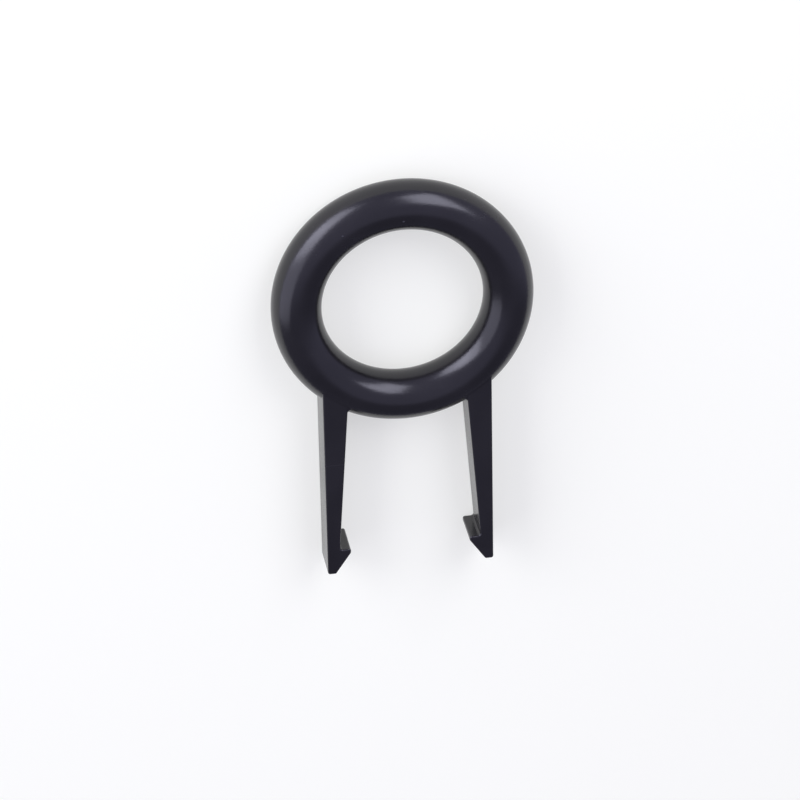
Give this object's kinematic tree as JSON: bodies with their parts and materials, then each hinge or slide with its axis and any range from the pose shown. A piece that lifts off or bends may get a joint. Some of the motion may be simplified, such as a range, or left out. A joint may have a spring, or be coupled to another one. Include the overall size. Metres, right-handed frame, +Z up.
{
  "type": "keycap puller",
  "caption": "One-piece moulded keycap puller: a round finger ring with straight springy legs that end in inward hooks for lifting keycaps off their switches.",
  "frame": {"origin": "on the surface it lies on, under the middle of its overall length and width", "axes": "+Z up along the ring's axis, -Y along the legs towards their hooks, X across the legs"},
  "size_m": [0.0282, 0.046, 0.0054],
  "materials": {
    "black_plastic": "smooth semi-gloss moulded black"
  },
  "bodies": {
    "root": {"keycap_puller": "black_plastic"}
  },
  "joints": []
}
